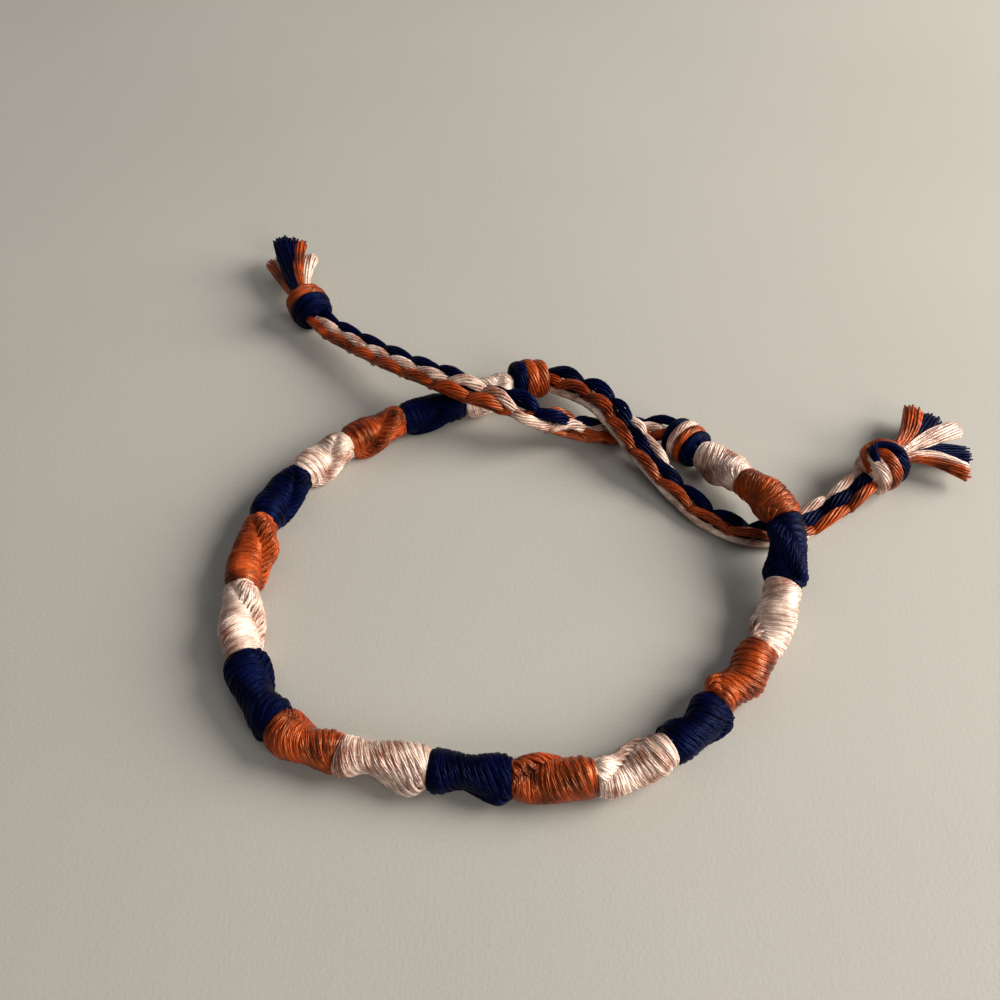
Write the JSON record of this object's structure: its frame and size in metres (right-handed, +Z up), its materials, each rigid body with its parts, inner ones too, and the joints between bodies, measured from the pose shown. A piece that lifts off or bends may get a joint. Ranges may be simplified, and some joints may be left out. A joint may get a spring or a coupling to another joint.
{
  "type": "friendship bracelet",
  "caption": "Knotted thread friendship bracelet in bands of navy, rust and peach, with a plaited tie, a knot and a tassel at each end, lying open in a ring.",
  "frame": {"origin": "centre of the bracelet's bounding box in plan, on the surface it lies on", "axes": "+Z up from the surface, +X to the right across the ring, +Y to the back where the ties cross"},
  "size_m": [0.0918, 0.083, 0.0073],
  "materials": {
    "navy_thread": "six-ply cotton embroidery thread, satin sheen, fine twist",
    "rust_thread": "six-ply cotton embroidery thread, satin sheen, fine twist",
    "peach_thread": "six-ply cotton embroidery thread, satin sheen, fine twist"
  },
  "bodies": {
    "root": {"block_01_peach": "peach_thread", "block_02_navy": "navy_thread", "block_03_rust": "rust_thread", "block_04_peach": "peach_thread", "block_05_navy": "navy_thread", "block_06_rust": "rust_thread", "block_07_peach": "peach_thread", "block_08_navy": "navy_thread", "block_09_rust": "rust_thread", "block_10_peach": "peach_thread", "block_11_navy": "navy_thread", "block_12_rust": "rust_thread", "block_13_peach": "peach_thread", "block_14_navy": "navy_thread", "block_15_rust": "rust_thread", "block_16_peach": "peach_thread", "block_17_navy": "navy_thread", "block_18_rust": "rust_thread", "block_19_peach": "peach_thread", "right_tie_strand_1": "navy_thread", "right_tie_strand_2": "peach_thread", "right_tie_strand_3": "rust_thread", "left_tie_strand_1": "navy_thread", "left_tie_strand_2": "peach_thread", "left_tie_strand_3": "rust_thread", "left_end_knot": "rust_thread", "right_end_knot": "navy_thread", "left_tail_knot": "navy_thread", "right_tail_knot": "rust_thread", "left_tassel": "navy_thread", "right_tassel": "rust_thread"}
  },
  "joints": []
}
